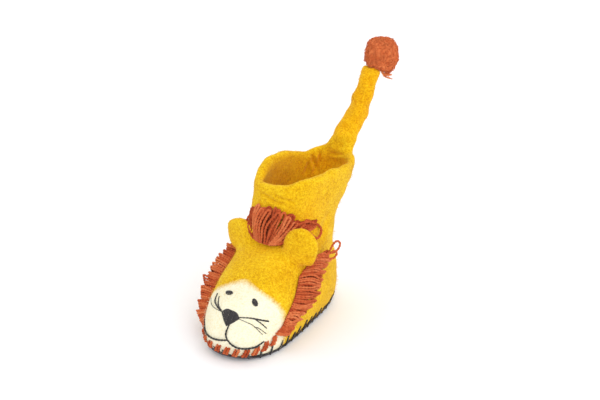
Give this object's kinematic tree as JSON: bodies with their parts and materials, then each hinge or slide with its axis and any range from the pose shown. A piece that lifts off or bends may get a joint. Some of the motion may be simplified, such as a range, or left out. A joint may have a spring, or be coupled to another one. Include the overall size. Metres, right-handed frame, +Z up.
{
  "type": "felt slipper",
  "caption": "Child's felt slipper boot with a lion's face: hollow felt upper on a suede sole, open collar, felt ears, yarn mane, and a tail that ends in a wool tuft.",
  "frame": {"origin": "on the floor under the middle of the sole", "axes": "+Z up, toe along -Y, +X to the wearer's left"},
  "size_m": [0.1115, 0.2586, 0.2544],
  "materials": {
    "mustard_felt": "matted wool felt with a soft nap",
    "rust_wool": "twisted wool yarn and loose wool",
    "charcoal_wool": "stranded wool embroidery",
    "grey_suede": "napped suede"
  },
  "bodies": {
    "root": {"outsole": "grey_suede", "insole": "mustard_felt", "upper": "mustard_felt", "tail": "mustard_felt", "tail_tuft": "rust_wool", "ear_left": "mustard_felt", "ear_right": "mustard_felt", "mane_crown": "rust_wool", "mane_left": "rust_wool", "mane_right": "rust_wool", "nose": "charcoal_wool", "eye_left": "charcoal_wool", "eye_right": "charcoal_wool"}
  },
  "joints": []
}
